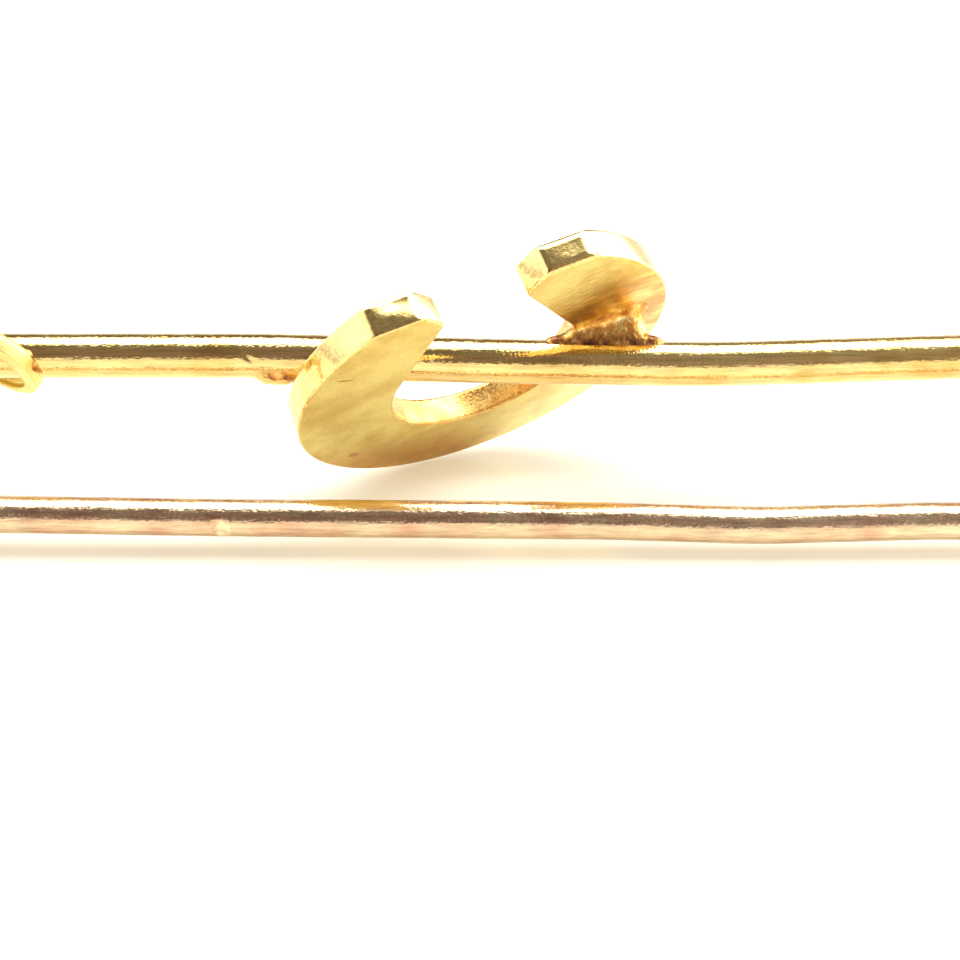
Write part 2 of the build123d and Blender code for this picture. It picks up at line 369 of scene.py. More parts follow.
def worn_metal(name, light_hex, deep_hex, stretch, roughness, pit_depth, line_depth):
    """A polished and worn metal, with drawn lines stretched along x by that much."""
    material, tree, shader, place = metal_tree(name)
    patches = add_node(tree, "TexNoise", {"Vector": place, "Scale": 1 / PATCH_SIZE, "Detail": 6.0})
    tint = add_node(
        tree, "ValToRGB", {"Fac": patches}, stops=[(0.35, linear(deep_hex)), (0.62, linear(light_hex))]
    )
    along = add_node(tree, "Mapping", {"Vector": place, "Scale": (1 / stretch, 1.0, 1.0)})
    lines = add_node(tree, "TexNoise", {
        "Vector": along, "Scale": 1 / LINE_SIZE, "Detail": 2.0, "Roughness": 0.6,
    })
    streaks = add_node(tree, "MapRange", {
        "Value": lines, "From Min": 0.30, "From Max": 0.60, "To Min": 0.72, "To Max": 1.0,
    })
    shade = add_node(
        tree, "Mix", {"Factor": 1.0, "A": tint, "B": streaks}, data_type="RGBA", blend_type="MULTIPLY"
    )
    pits = add_node(tree, "TexNoise", {
        "Vector": place, "Scale": 1 / PIT_SIZE, "Detail": 1.0, "Roughness": 0.5,
    })
    gloss = add_node(tree, "MapRange", {
        "Value": pits, "From Min": 0.35, "From Max": 0.65, "To Min": roughness[0], "To Max": roughness[1],
    })
    drawn = add_node(tree, "Bump", {"Height": lines, "Distance": line_depth * MM})
    worn = add_node(tree, "Bump", {"Height": pits, "Normal": drawn, "Distance": pit_depth * MM})
    feed(tree, shader, {"Base Color": shade, "Roughness": gloss, "Normal": worn})
    return material


polished_gold = worn_metal(
    "polished and worn 18 carat yellow gold", "#F9DD98", "#E9C678", stretch=14,
    roughness=(0.05, 0.17), pit_depth=0.008, line_depth=0.006,
)
print("metal:", polished_gold.name)

# %% [markdown]
# The bar is a drawn round wire of 1.3 mm. It could be a cylinder, but the real one has slight bends, so a
# disc is extruded step by step along them, which also rounds its ends. The bends are the model's own. Wear
# then makes the wire very slightly uneven, solder that has run down hangs from it at the left, and a tool
# has left a short nick beside that. The rings are finer there, so that these small shapes have points.

# %% Bar wire
BAR_LENGTH = 50.0
BAR_DIAMETER = 1.30
BAR_END_ROUNDING = 0.45
BAR_BENDS = [  # share of half the bar's length, height as a share of its diameter
    (-1.00, 0.130),
    (-0.26, 0.130),
    (0.06, -0.015),
    (0.27, -0.085),
    (0.58, 0.115),
    (1.00, 0.155),
]
BAR_BEND_RADIUS = 55.0
WIRE_STEP = 0.125
WIRE_SIDES = 48
FINE_PART = (-7.0, -5.2)
FINE_STEP = 0.06
END_STEPS = 10
END_STEP_ANGLE = radians(9)


def bent_height(points, bend_radius, x):
    """Height at x of a line through the points, with each corner rounded to that radius."""
    for index in range(1, len(points) - 1):
        (x0, z0), (x1, z1), (x2, z2) = points[index - 1:index + 2]
        before = (z1 - z0) / (x1 - x0)
        after = (z2 - z1) / (x2 - x1)
        reach = bend_radius * abs(after - before) / 2
        if abs(x - x1) < reach:
            away = x - x1 + reach
            return z1 - before * reach + before * away + (after - before) * away**2 / (4 * reach)
    for (x0, z0), (x1, z1) in zip(points, points[1:]):
        if x <= x1:
            break
    return z0 + (z1 - z0) * (x - x0) / (x1 - x0)


def draw_wire(name, stations):
    """Extrudes a disc through stations of x, height, half width and half height."""
    x, height, half_width, half_height = stations[0]
    wire = start_piece(
        name, bpy.ops.mesh.primitive_circle_add, vertices=WIRE_SIDES, radius=half_width, fill_type="NGON",
        location=(x, 0, height), rotation=(0, pi / 2, 0),
    )
    for station in stations[1:]:
        pull((station[0] - x, 0, station[1] - height))
        growth = (1, station[2] / half_width, station[3] / half_height)
        x, height, half_width, half_height = station
        if max(abs(growth[1] - 1), abs(growth[2] - 1)) > 1e-6:
            bpy.ops.transform.resize(value=growth, center_override=(x, 0, height))
    close_piece()
    return wire


def even_steps(start, end, step):
    """Places from start to end, about a step apart."""
    count = round((end - start) / step)
    return [start + (end - start) * index / count for index in range(count + 1)]


def bar_height_at(x):
    """Height of the bar's axis at x."""
    return bent_height(bar_points, BAR_BEND_RADIUS, x)


bar_radius = BAR_DIAMETER / 2
bar_points = [(place * BAR_LENGTH / 2, height * BAR_DIAMETER) for place, height in BAR_BENDS]
end_rings = [
    (BAR_LENGTH / 2 - BAR_END_ROUNDING * (1 - cos(turn)), bar_radius - BAR_END_ROUNDING * (1 - sin(turn)))
    for turn in [step * END_STEP_ANGLE for step in range(END_STEPS)]
]
round_part = (
    even_steps(BAR_END_ROUNDING - BAR_LENGTH / 2, FINE_PART[0], WIRE_STEP)
    + even_steps(FINE_PART[0] + FINE_STEP, FINE_PART[1] - FINE_STEP, FINE_STEP)
    + even_steps(FINE_PART[1], BAR_LENGTH / 2 - BAR_END_ROUNDING, WIRE_STEP)
)
bar_rings = [(-x, radius) for x, radius in end_rings]
bar_rings += [(x, bar_radius) for x in round_part]
bar_rings += end_rings[::-1]
bar_wire = draw_wire("bar_wire", [
    (x, bar_height_at(x), radius, radius) for x, radius in bar_rings
])
print("bar rings:", len(bar_rings))

# %% Wear on the bar
WAVE_SIZE = 0.55
BAR_WEAR = 0.012
SPILL_PLACE = -6.05
SPILL_SHIFTS = (-0.2, 0, 0.2, 0.4)
SPILL_TURN = -80  # from the viewer's line, down in the picture
SPILL_HEIGHT = 0.20
SPILL_REACH = 0.42
NICK_START = (-6.76, 2)  # place along the bar, and turn from the viewer's line
NICK_END = (-6.46, -18)
NICK_DEPTH = 0.035
NICK_REACH = 0.09

waves = bpy.data.textures.new("waves", "CLOUDS")
waves.noise_scale = WAVE_SIZE


def wear(piece, strength):
    """Makes a drawn wire very slightly uneven, as years of wear do."""
    pick(piece)
    modify(piece, "DISPLACE", texture=waves, texture_coords="LOCAL", strength=strength, mid_level=0.5)


def seen_at(x, height, radius, turn):
    """A spot on a wire at x: turn 0 faces the viewer, 90 degrees is its upper edge in the picture."""
    away = cos(radians(turn)) * to_viewer + sin(radians(turn)) * picture_up
    return Vector((x, 0, height)) + radius * away


def press(piece, spots, towards, depth, reach):
    """Presses the points nearest to the spots in by a depth, and eases the metal round them."""
    open_piece(piece)
    shape = bmesh.from_edit_mesh(piece.data)
    bpy.ops.mesh.select_all(action="DESELECT")
    for spot in spots:
        min(shape.verts, key=lambda vert: (vert.co - spot).length).select_set(True)
    shape.select_flush_mode()
    bmesh.update_edit_mesh(piece.data)
    bpy.ops.transform.translate(
        value=towards.normalized() * depth, use_proportional_edit=True,
        proportional_edit_falloff="SMOOTH", proportional_size=reach,
    )
    bpy.ops.object.mode_set(mode="OBJECT")


wear(bar_wire, BAR_WEAR)
spill_level = bar_height_at(SPILL_PLACE)
spill = [seen_at(SPILL_PLACE + shift, spill_level, bar_radius, SPILL_TURN) for shift in SPILL_SHIFTS]
press(bar_wire, spill, -picture_up, SPILL_HEIGHT, SPILL_REACH)
nick = [
    seen_at(
        NICK_START[0] + (NICK_END[0] - NICK_START[0]) * share, spill_level, bar_radius,
        NICK_START[1] + (NICK_END[1] - NICK_START[1]) * share,
    )
    for share in even_steps(0, 1, 0.2)
]
press(bar_wire, nick, -to_viewer, NICK_DEPTH, NICK_REACH)
finish_piece(bar_wire, polished_gold)

# %% [markdown]
# The crescent is a flat plate, sawn from sheet, with a round hole and two blunt horns that almost close. A
# circle is extruded inwards to a ring, and the ring is then cut with straight bisects as a saw would cut
# it: across the horns, at their blunt tips, and along their inner sides, which leave the hole at a tangent.

# %% Crescent: the sawn outline
CRESCENT_RADIUS = 5.72
CRESCENT_THICKNESS = 0.92
HOLE_RADIUS = 2.87
HORN_FLAT_DEPTH = 0.84
HORN_FLAT_GAP = 3.40
HORN_TIP_GAP = 2.24
HORN_TIP_DROP = 0.77
OUTLINE_SIDES = 160

half_thick = CRESCENT_THICKNESS / 2
hole_diagonal = hypot(2 * HOLE_RADIUS, CRESCENT_THICKNESS)
TILT = asin(BAR_DIAMETER / hole_diagonal) + atan2(CRESCENT_THICKNESS, 2 * HOLE_RADIUS)
horn_flat = CRESCENT_RADIUS - HORN_FLAT_DEPTH
horn_tip = Vector((HORN_TIP_GAP / 2, HORN_TIP_DROP - horn_flat, 0))
flat_end = Vector((HORN_FLAT_GAP / 2, -horn_flat, 0))
leave_turn = atan2(horn_tip.y, horn_tip.x) + acos(HOLE_RADIUS / horn_tip.length)
leave = HOLE_RADIUS * Vector((cos(leave_turn), sin(leave_turn), 0))


def saw(through, along, away, clear=True):
    """Cuts the selected faces along a line in the plate's plane, and clears the side that holds `away`."""
    across = Vector((-along.y, along.x, 0)).normalized()
    if across.dot(away - through) < 0:
        across = -across
    bpy.ops.mesh.bisect(plane_co=through, plane_no=across, clear_outer=clear, clear_inner=False)


crescent = start_piece(
    "crescent", bpy.ops.mesh.primitive_circle_add, vertices=OUTLINE_SIDES, radius=CRESCENT_RADIUS
)
bpy.ops.mesh.extrude_region_move()
inward = HOLE_RADIUS / CRESCENT_RADIUS
bpy.ops.transform.resize(value=(inward, inward, 1), center_override=(0, 0, 0))
bpy.ops.mesh.select_all(action="SELECT")
open_side = Vector((0, -CRESCENT_RADIUS, 0))
saw(flat_end, Vector((1, 0, 0)), open_side)
for side in (1, -1):
    flip = Vector((side, 1, 1))
    tip, end, tangent = horn_tip * flip, flat_end * flip, leave * flip
    select("faces", lambda face: side * middle(face).x > 0 and middle(face).y < 0)
    saw(tangent, tangent, open_side, clear=False)
    for start, finish in ((tangent, tip), (tip, end)):
        select("faces", lambda face: side * middle(face).x > 0 and middle(face).cross(tangent).z * side > 0)
        saw(start, finish - start, Vector((0, tip.y, 0)))
bpy.ops.mesh.select_all(action="SELECT")
bpy.ops.mesh.dissolve_limited(angle_limit=radians(0.5))
close_piece(merge=0.02)
print("outline faces:", len(crescent.data.polygons), f"tilt {degrees(TILT):.2f} degrees")

# %% [markdown]
# Both faces of the crescent were rubbed down with fine emery, which leaves them satin. Satin gold reads
# darker and greener than polished gold, because it gathers light from all over the tent, and its colours
# are set darker and greener to paint that shade in. Its grit is about 0.07 mm wide. The faces are glossier
# towards the right, and the right limb carries painted reflections next to its solder: slanting bands of
# dark and bright gold. The left limb is painted darker and redder low down, as shade and warm reflected
# light near the table. The plate's walls are polished as the saw and the burnisher left them, and the
# inside of the hole was only rubbed: both are the bar's own metal, with less or more grain, but the hole's
# colours are set darker and more orange, as painted shade and warm reflected light in the hole.

# %% Satin, sawn and rubbed gold
CLOUD_SIZE = 1.5 * MM
GRIT_SIZE = 0.07 * MM
BAND_SIZE = 0.55 * MM
RUB_SIZE = 0.12 * MM
SATIN_DEPTH = 0.010 * MM
REFLECTION_SLOPE = 0.468  # the part of the right limb with painted reflection bands ends along a slope, in height for each step along x
REFLECTION_START = 1.50   # height of that slope over the bar, at the middle


def faded(tree, share, *fades):
    """A share, faded in as each value passes from a start to an end."""
    for value, start, end in fades:
        fade = add_node(
            tree, "MapRange", {"Value": value, "From Min": start, "From Max": end},
            interpolation_type="SMOOTHSTEP",
        )
        share = add_node(tree, "Math", {0: share, 1: fade}, operation="MULTIPLY")
    return share


def satin_metal(name, light_hex, deep_hex, low_shade_hex, reflection_hexes, roughness):
    """A rubbed metal: grit, rubbing marks, slow changes of colour, painted shade at the low left, and painted
    reflection bands on a glossier right.
    """
    material, tree, shader, place = metal_tree(name)
    x, _, z = add_node(tree, "SeparateXYZ", {"Vector": place}).outputs
    clouds = add_node(tree, "TexNoise", {
        "Vector": place, "Scale": 1 / CLOUD_SIZE, "Detail": 8.0, "Roughness": 0.62,
    })
    tint = add_node(
        tree, "ValToRGB", {"Fac": clouds}, stops=[(0.36, linear(deep_hex)), (0.60, linear(light_hex))]
    )
    grit = add_node(tree, "TexNoise", {
        "Vector": place, "Scale": 1 / GRIT_SIZE, "Detail": 4.0, "Roughness": 0.65,
    })
    specks = add_node(tree, "MapRange", {
        "Value": grit, "From Min": 0.30, "From Max": 0.42, "To Min": 0.72, "To Max": 1.0,
    })
    shade = add_node(
        tree, "Mix", {"Factor": 1.0, "A": tint, "B": specks}, data_type="RGBA", blend_type="MULTIPLY"
    )
    # Painted shade and warm reflected light: low down at the left, the faces are made darker and redder.
    low_left = faded(tree, 1.0, (z, 2.4 * MM, 0.4 * MM), (x, 1.0 * MM, -1.0 * MM))
    painted_low_shade = add_node(
        tree, "Mix", {"Factor": low_left, "A": shade, "B": linear(low_shade_hex)},
        data_type="RGBA", blend_type="MULTIPLY",
    )

    # Painted reflections: on the right limb above the bar, up to a slope, slanting bands of dark and bright
    # gold.
    slope = add_node(
        tree, "Math", {0: x, 1: REFLECTION_SLOPE, 2: bar_middle.z + REFLECTION_START * MM}, operation="MULTIPLY_ADD"
    )
    below = add_node(tree, "Math", {0: slope, 1: z}, operation="SUBTRACT")
    to_slope = add_node(tree, "MapRange", {"Value": below, "From Max": 1.0 * MM})
    reflection_part = faded(
        tree, to_slope, (x, 1.4 * MM, 2.4 * MM), (z, bar_middle.z - 0.2 * MM, bar_middle.z + 0.5 * MM)
    )
    aslant = add_node(tree, "Mapping", {
        "Vector": place, "Rotation": (0.0, radians(30), 0.0), "Scale": (0.22, 1.0, 1.0),
    })
    bands = add_node(tree, "TexNoise", {"Vector": aslant, "Scale": 1 / BAND_SIZE, "Detail": 4.0})
    reflection_bands = add_node(tree, "ValToRGB", {"Fac": bands}, stops=[
        (level, linear(colour)) for level, colour in zip((0.40, 0.52, 0.62), reflection_hexes)
    ])
    # Mixes the painted reflection bands into the right limb's colour.
    worn = add_node(tree, "Mix", {"Factor": reflection_part, "A": painted_low_shade, "B": reflection_bands}, data_type="RGBA")

    gloss = add_node(tree, "MapRange", {
        "Value": x, "From Min": -0.5 * MM, "From Max": 2.4 * MM,
        "To Min": roughness[1], "To Max": roughness[0],
    })
    across = add_node(tree, "Mapping", {
        "Vector": place, "Rotation": (0.0, 0.0, radians(35)), "Scale": (0.06, 1.0, 1.0),
    })
    marks = add_node(tree, "TexNoise", {"Vector": across, "Scale": 1 / RUB_SIZE, "Detail": 3.0})
    rubbed = add_node(tree, "Bump", {"Height": marks, "Distance": SATIN_DEPTH})
    gritty = add_node(tree, "Bump", {"Height": grit, "Normal": rubbed, "Distance": SATIN_DEPTH})
    feed(tree, shader, {"Base Color": worn, "Roughness": gloss, "Normal": gritty})
    return material


# The satin colours are set darker and greener than the polished gold's as painted shade; #DCB67E is painted
# shade at the low left, and the three band colours are painted reflections.
satin_gold = satin_metal(
    "satin 18 carat yellow gold", "#EADA8A", "#D2B662", "#DCB67E", ("#BC9146", "#DFB965", "#FFE794"),
    roughness=(0.22, 0.42),
)
sawn_gold = worn_metal(
    "sawn and polished 18 carat yellow gold", "#F9DB90", "#EAC67C", stretch=1,
    roughness=(0.04, 0.12), pit_depth=0.002, line_depth=0.001,
)
# Inside the hole the colours are set darker and more orange than the bar's, as painted shade and warm
# reflected light; the rubbing gives only its roughness.
rubbed_shaded_gold = worn_metal(
    "18 carat yellow gold, rubbed inside the hole", "#F6D284", "#D29A50", stretch=1,
    roughness=(0.22, 0.38), pit_depth=0.009, line_depth=0.006,
)
print("metals:", [metal.name for metal in (satin_gold, sawn_gold, rubbed_shaded_gold)])

# %% [markdown]
# The plate gets its thickness, and then every edge its own rounding, because worn edges are what catches
# the light. A bevel weight on each edge lets one modifier round them all, with clean corners: much at the
# far edge of the horns, little at the hole. The horns' flats are then pressed in very slightly from their
# far edge, since a worn flat mirrors the dark part of the tent in one place and the white part in another.

# %% Crescent: thickness and worn edges
WIDEST_ROUNDING = 0.22
FRONT_ROUNDING = 0.12
BACK_ROUNDING = 0.07
HORN_ROUNDING = 0.17
HOLE_ROUNDING = 0.09
CORNER_ROUNDING = 0.16
HORN_ROLLS = [  # place along the horns' flats, distance below the front face, depth, reach
    (-1.80, 0.20, 0.050, 0.70),
    (-2.40, 0.06, 0.040, 0.50),
    (2.60, 0.20, 0.018, 0.70),
]
FLAT_GRID = 0.1  # the flats are cut to a grid this fine, so that pressing them bends them smoothly
SATIN_FACES, HOLE_FACES = 1, 2


def level_of(edge):
    """1 for an edge of the plate's front face, -1 for one of its back, and 0 for one across its wall."""
    for side in (1, -1):
        if all(abs(vert.co.z - side * half_thick) < TOUCHING for vert in edge.verts):
            return side
    return 0


def on_horn_flat(edge):
    return middle(edge).y < TOUCHING - horn_flat


def round_the_hole(edge):
    spot = middle(edge)
    return hypot(spot.x, spot.y) < HOLE_RADIUS + 0.02 or (
        abs(spot.x) < leave.x and 0.01 - horn_flat < spot.y < leave.y
    )


pick(crescent)
modify(crescent, "SOLIDIFY", thickness=CRESCENT_THICKNESS, offset=0.0)
open_piece(crescent)
for rounding, level, test in (
    (FRONT_ROUNDING, 1, lambda edge: not on_horn_flat(edge)),
    (WIDEST_ROUNDING, 1, on_horn_flat),
    (BACK_ROUNDING, -1, lambda edge: not on_horn_flat(edge) and not round_the_hole(edge)),
    (HOLE_ROUNDING, -1, round_the_hole),
    (HORN_ROUNDING, -1, on_horn_flat),
    (CORNER_ROUNDING, 0, lambda edge: True),
):
    select("edges", lambda edge: is_corner(edge) and level_of(edge) == level and test(edge))
    bpy.ops.transform.edge_bevelweight(value=rounding / WIDEST_ROUNDING)
close_piece()
modify(crescent, "BEVEL", width=WIDEST_ROUNDING, segments=6, limit_method="WEIGHT", use_clamp_overlap=False)
open_piece(crescent)
for reach, across in ((3.0, Vector((1, 0, 0))), (0.4, Vector((0, 0, 1)))):
    for place in even_steps(-reach, reach, FLAT_GRID):
        select("faces", lambda face: face.normal.y < -0.9)
        bpy.ops.mesh.bisect(plane_co=place * across, plane_no=across)
bpy.ops.object.mode_set(mode="OBJECT")
for x, below, depth, reach in HORN_ROLLS:
    press(crescent, [Vector((x, -horn_flat, half_thick - below))], Vector((0, 1, 0)), depth, reach)
for metal in (sawn_gold, satin_gold, rubbed_shaded_gold):
    crescent.data.materials.append(metal)
for face in crescent.data.polygons:
    if abs(face.normal.z) > 0.95:
        face.material_index = SATIN_FACES
    elif face.center.xy.length < HOLE_RADIUS + 0.1 and face.center.y > 0:
        face.material_index = HOLE_FACES
crescent.rotation_euler = (0, -TILT, 0)
bpy.ops.object.transform_apply(rotation=True)
finish_piece(crescent)

# %% [markdown]
# Near the bar's left end sits a small round cup, pierced by the bar, of which the photograph shows one
# edge. It is a disc with a rounded front edge, and its back is hollowed by an inset pushed inwards.

# %% Cup motif
MOTIF_PLACE = -14.0
MOTIF_RADIUS = 1.33
MOTIF_THICKNESS = 0.55
MOTIF_ROUNDING = 0.22
MOTIF_RIM_ROUNDING = 0.05
MOTIF_HOLLOW_RADIUS = 0.85
MOTIF_HOLLOW_DEPTH = 0.22
MOTIF_HOLLOW_SHIFT = 0.25
MOTIF_TILT = radians(22)
MOTIF_LEAN = radians(8)
MOTIF_SEAT = 0.28  # how much nearer to the pin side than the bar's axis
MOTIF_LIFT = 0.17  # up in the picture
MOTIF_SIDES = 72

motif_back = 0.01 - MOTIF_THICKNESS / 2  # what is lower than this belongs to the back
cup = start_piece(
    "cup_motif", bpy.ops.mesh.primitive_circle_add, vertices=MOTIF_SIDES, radius=MOTIF_RADIUS,
    fill_type="NGON", location=(0, 0, -MOTIF_THICKNESS / 2),
)
pull((0, 0, MOTIF_THICKNESS))
bpy.ops.mesh.normals_make_consistent(inside=False)
select("faces", lambda face: middle(face).z > -motif_back)
bpy.ops.mesh.bevel(offset=MOTIF_ROUNDING, segments=6, affect="EDGES")
select("faces", lambda face: middle(face).z < motif_back)
bpy.ops.mesh.inset(thickness=MOTIF_RADIUS - MOTIF_HOLLOW_RADIUS)
bpy.ops.transform.translate(value=(0, MOTIF_HOLLOW_SHIFT, 0))
pull((0, 0, MOTIF_HOLLOW_DEPTH))
bpy.ops.mesh.bevel(offset=MOTIF_RIM_ROUNDING * 2, segments=4, affect="EDGES")
select("edges", lambda edge: is_corner(edge) and middle(edge).z < motif_back)
bpy.ops.mesh.bevel(offset=MOTIF_RIM_ROUNDING, segments=3, affect="EDGES")
close_piece()
cup.rotation_euler = (-MOTIF_LEAN, MOTIF_TILT, 0)
cup_seat = Vector((MOTIF_PLACE, 0, bar_height_at(MOTIF_PLACE) - MOTIF_SEAT))
cup.location = cup_seat + MOTIF_LIFT * picture_up
bpy.ops.object.transform_apply(location=True, rotation=True)
finish_piece(cup, satin_gold)

# %% [markdown]
# Solder is lower in gold and was never cleaned up. It is the roughest metal on the brooch: a crust with
# glints of bare metal, dark where it was burnt next to the bar and cleaner away from it. The right joint was
# burnt grey-brown. The left one and the cup's are brighter, with the red of copper.

# %% Solder
BLOTCH_LEVELS = (0.35, 0.49, 0.62)
BLOTCH_SIZE = 0.35 * MM
CRUST_SIZE = 0.10 * MM
CRUST_DEPTH = 0.035 * MM
BURNT_RADIUS = 0.72 * MM  # from the bar's axis, where burnt solder starts to turn clean
CLEAN_RADIUS = 1.02 * MM


def solder_metal(name, burnt_hexes, clean_hexes):
    """Solder with blotches from dark to light, in one set of colours next to the bar and another away."""
    material, tree, shader, place = metal_tree(name)
    blotches = add_node(tree, "TexNoise", {"Vector": place, "Scale": 1 / BLOTCH_SIZE, "Detail": 6.0})
    burnt, clean = [
        add_node(tree, "ValToRGB", {"Fac": blotches}, stops=[
            (level, linear(colour)) for level, colour in zip(BLOTCH_LEVELS, hexes)
        ])
        for hexes in (burnt_hexes, clean_hexes)
    ]
    from_bar = add_node(tree, "VectorMath", {0: place, 1: bar_middle}, operation="SUBTRACT")
    sideways = add_node(tree, "VectorMath", {0: from_bar, 1: (0.0, 1.0, 1.0)}, operation="MULTIPLY")
    away = add_node(tree, "VectorMath", {0: sideways}, operation="LENGTH")
    cleaner = add_node(tree, "MapRange", {
        "Value": away, "From Min": BURNT_RADIUS, "From Max": CLEAN_RADIUS,
    })
    tint = add_node(tree, "Mix", {"Factor": cleaner, "A": burnt, "B": clean}, data_type="RGBA")
    gloss = add_node(tree, "MapRange", {
        "Value": blotches, "From Min": 0.35, "From Max": 0.65, "To Min": 0.55, "To Max": 0.22,
    })
    crust = add_node(tree, "TexNoise", {"Vector": place, "Scale": 1 / CRUST_SIZE, "Detail": 5.0})
    rough = add_node(tree, "Bump", {"Height": crust, "Distance": CRUST_DEPTH})
    feed(tree, shader, {"Base Color": tint, "Roughness": gloss, "Normal": rough})
    return material


burnt_solder = solder_metal(
    "burnt gold solder", ("#4C2E26", "#8C5C38", "#DCA65C"), ("#B07838", "#DEA856", "#F9DA90")
)
copper_solder = solder_metal(
    "copper-coloured gold solder", ("#8E5C34", "#D69A50", "#F6CE84"), ("#B87C3C", "#E4AC5E", "#F9DA90")
)
print("solders:", burnt_solder.name, "and", copper_solder.name)

# %% [markdown]
# Solder creeps into the corner between the bar and the crescent and draws a hollow curve there. Short
# copies of the two pieces that it joins are cut out round each crossing, with a row of lumps between them,
# remeshed to one body and smoothed: the smoothing fills the corners, and elsewhere the body sinks under the
# metal. Each bead of the row has a foot on the bar, and where the joint is thick also a column up to the
# limb and a pad on the limb's face.

# %% Solder at the crescent
SOLDER_VOXEL = 0.05
SOLDER_SINK = 0.05
SOLDER_SMOOTHING = 60  # rounds
SOLDER_CRUST = 0.025
CRUST_WAVE = 0.28
SOLDER_REACH = Vector((2.4, 1.2, 1.5))

crust = bpy.data.textures.new("crust", "CLOUDS")
crust.noise_scale = CRUST_WAVE


def box_cut(source, centre, half_size):
    """A copy of a piece, cut down to what lies in a box, with its cuts filled."""
    copy = source.copy()
    copy.data = source.data.copy()
    bpy.context.collection.objects.link(copy)
    open_piece(copy)
    for axis in range(3):
        for side in (-1, 1):
            normal = Vector((0, 0, 0))
            normal[axis] = side
            bpy.ops.mesh.select_all(action="SELECT")
            bpy.ops.mesh.bisect(
                plane_co=centre + normal * half_size[axis], plane_no=normal, clear_outer=True, use_fill=True
            )
    close_piece()
    modify(copy, "DISPLACE", strength=-SOLDER_SINK, mid_level=0.0)
    return copy


def lump(centre, size):
    """A round lump of solder."""
    piece = start_piece(
        "lump", bpy.ops.mesh.primitive_ico_sphere_add, subdivisions=3, radius=1.0, location=centre
    )
    bpy.ops.transform.resize(value=size, center_override=centre)
    close_piece()
    return piece


def grow_solder(name, pieces, metal, rounds):
    """Joins the pieces to one skin and smooths it, so that it fills the corners."""
    pick(*pieces)
    bpy.ops.object.join()
    solder = bpy.context.object
    solder.name = name
    solder.data.name = name
    modify(solder, "REMESH", mode="VOXEL", voxel_size=SOLDER_VOXEL, use_smooth_shade=True)
    modify(solder, "SMOOTH", factor=0.6, iterations=rounds)
    modify(solder, "DISPLACE", texture=crust, texture_coords="LOCAL", strength=SOLDER_CRUST, mid_level=0.55)
    solder.data.materials.clear()
    solder.data.materials.append(metal)
    print(f"{name}: {len(solder.data.polygons)} faces")
    return solder


# %% The two joints
JOINT_OUTWARDS = 0.2  # from the middle of the limb
JOINT_SIDEWAYS = 0.8  # from the bar's axis towards the limb
RIGHT_BEADS = even_steps(2.25, 4.95, 0.27)  # places along the bar
LEFT_BEADS = even_steps(3.5, 4.7, 0.30)     # the same, towards the other end
COLUMN_PART = (2.7, 4.65)
PAD_PART = (3.1, 4.55)
BEAD_HALF_LENGTH = 0.50
COLUMN_HALF_WIDTH = 0.72
COLUMN_OVERLAP = 0.32  # how far a column reaches into the two pieces
COLUMN_EDGE = 0.8      # where it meets the bar, as a share of the bar's radius
PAD_HALF_WIDTH = 1.35
PAD_HALF_HEIGHT = 0.34
PAD_SINK = 0.25
PAD_SHIFT = -0.10
FOOT_HALF_WIDTH = 0.60
FOOT_HALF_HEIGHT = 0.26
FOOT_EDGE = 0.66       # the foot's middle, as a share of the bar's radius
FOOT_SHIFT = -0.08
LEFT_LUMPS = [  # place along the bar, distance below its axis, half length, half height
    (-5.50, 0.20, 0.50, 0.60),
    (-5.95, 0.34, 0.52, 0.50),
]


def bead(side, x):
    """Solder between the bar and the limb that passes it, in front (+1) or behind (-1), spread on both."""
    limb_face = x * tan(TILT) - half_thick / cos(TILT)
    edge_of_bar = bar_radius * COLUMN_EDGE
    foot = Vector((side * x, FOOT_SHIFT, side * bar_radius * FOOT_EDGE))
    parts = [lump(foot, (BEAD_HALF_LENGTH, FOOT_HALF_WIDTH, FOOT_HALF_HEIGHT))]
    if COLUMN_PART[0] < x < COLUMN_PART[1]:
        column = Vector((side * x, 0, side * (limb_face + edge_of_bar) / 2))
        half_height = (limb_face - edge_of_bar) / 2 + COLUMN_OVERLAP
        parts.append(lump(column, (BEAD_HALF_LENGTH, COLUMN_HALF_WIDTH, half_height)))
    if PAD_PART[0] < x < PAD_PART[1]:
        pad = Vector((side * x, PAD_SHIFT, side * (limb_face + PAD_SINK)))
        parts.append(lump(pad, (BEAD_HALF_LENGTH, PAD_HALF_WIDTH, PAD_HALF_HEIGHT)))
    return parts


crossing = (HOLE_RADIUS + CRESCENT_RADIUS) / 2 * cos(TILT)
left_lumps = [
    lump(Vector((x, 0, bar_height_at(x))) - below * picture_up, (length, height, height))
    for x, below, length, height in LEFT_LUMPS
]
solder_pieces = []
for name, side, beads, lumps, metal in (
    ("solder_right", 1, RIGHT_BEADS, [], burnt_solder),
    ("solder_left", -1, LEFT_BEADS, left_lumps, copper_solder),
):
    centre = Vector((side * (crossing + JOINT_OUTWARDS), 0, side * JOINT_SIDEWAYS))
    solder_pieces.append(grow_solder(name, [
        box_cut(bar_wire, centre, SOLDER_REACH),
        box_cut(crescent, centre, SOLDER_REACH),
        *[piece for x in beads for piece in bead(side, x)],
        *lumps,
    ], metal, rounds=SOLDER_SMOOTHING))

# %% [markdown]
# The cup is soldered where the bar leaves it. Three small lumps that have run together stand for that.

# %% Solder at the cup
CUP_LUMPS = [  # place along the bar, turn from the viewer's line, radius
    (-13.02, -5, 0.24),
    (-12.90, -28, 0.22),
    (-12.72, -42, 0.13),
]
CUP_LUMP_SEAT = 0.92  # the lumps' middles, as a share of the bar's radius
CUP_SMOOTHING = 4     # rounds

